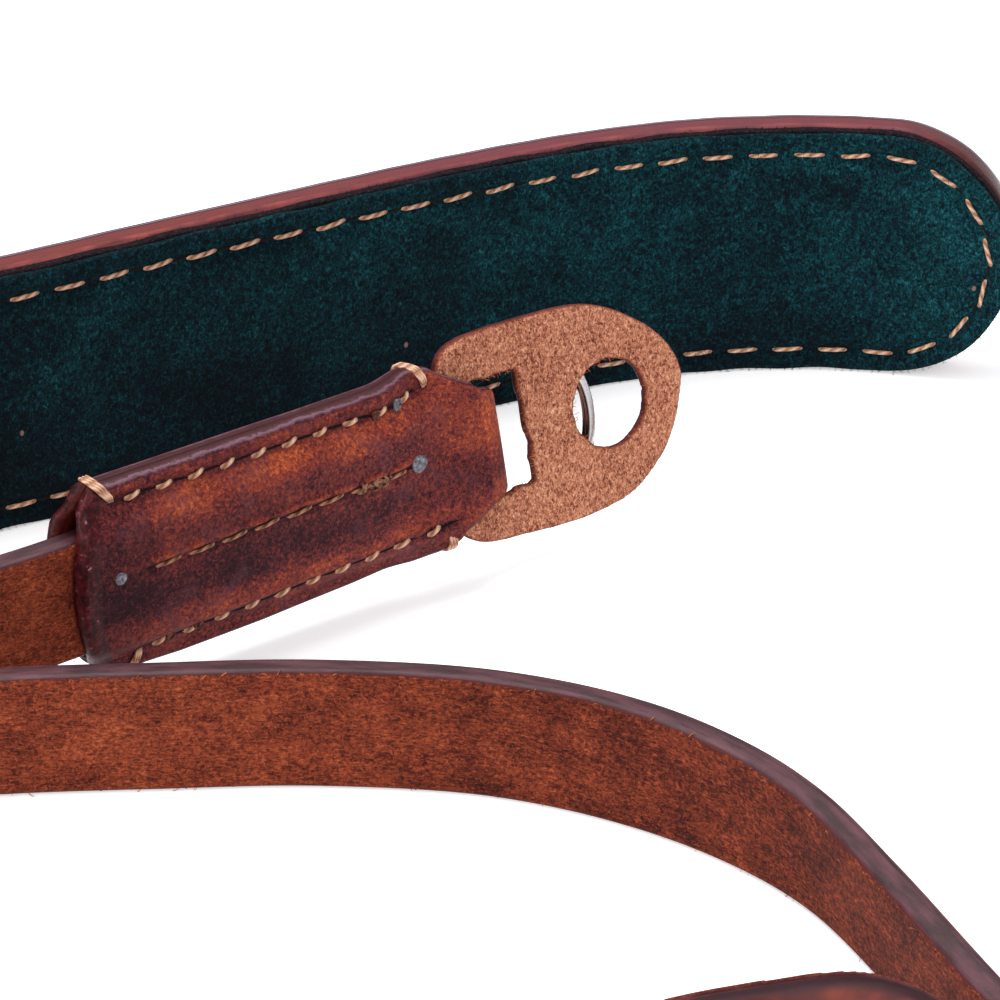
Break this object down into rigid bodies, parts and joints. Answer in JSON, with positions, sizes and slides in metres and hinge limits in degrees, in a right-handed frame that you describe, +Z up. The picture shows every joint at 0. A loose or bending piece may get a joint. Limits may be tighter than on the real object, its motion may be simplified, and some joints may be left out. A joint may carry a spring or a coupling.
{
  "type": "camera neck strap",
  "caption": "Leather camera neck strap with a suede-lined shoulder pad, narrow straps, folded end tabs, lug guards and split rings, standing on its edges.",
  "frame": {"origin": "on the floor under the middle of the shoulder pad's outer leather, where the pad's lower edge rests", "axes": "+Z up; +Y to the back, away from the pad's suede side; +X towards the pad's right end as its suede is seen"},
  "size_m": [0.4096, 0.1789, 0.026],
  "materials": {
    "pad_leather": "waxed red-brown grain, burnished edges",
    "interlining": "dark felt",
    "suede": "dark teal suede",
    "strap_leather": "brown flesh side, burnished edges",
    "tab_leather": "waxed brown grain, burnished edges",
    "guard_leather": "pale brown flesh side, cut edges",
    "ring_steel": "plated spring steel"
  },
  "bodies": {
    "root": {"pad_leather": "pad_leather", "pad_interlining": "interlining", "pad_suede": "suede", "strap_left": "strap_leather", "strap_right": "strap_leather", "end_tab_left": "tab_leather", "end_tab_right": "tab_leather", "lug_guard_left": "guard_leather", "lug_guard_right": "guard_leather", "split_ring_left": "ring_steel", "split_ring_right": "ring_steel"}
  },
  "joints": []
}
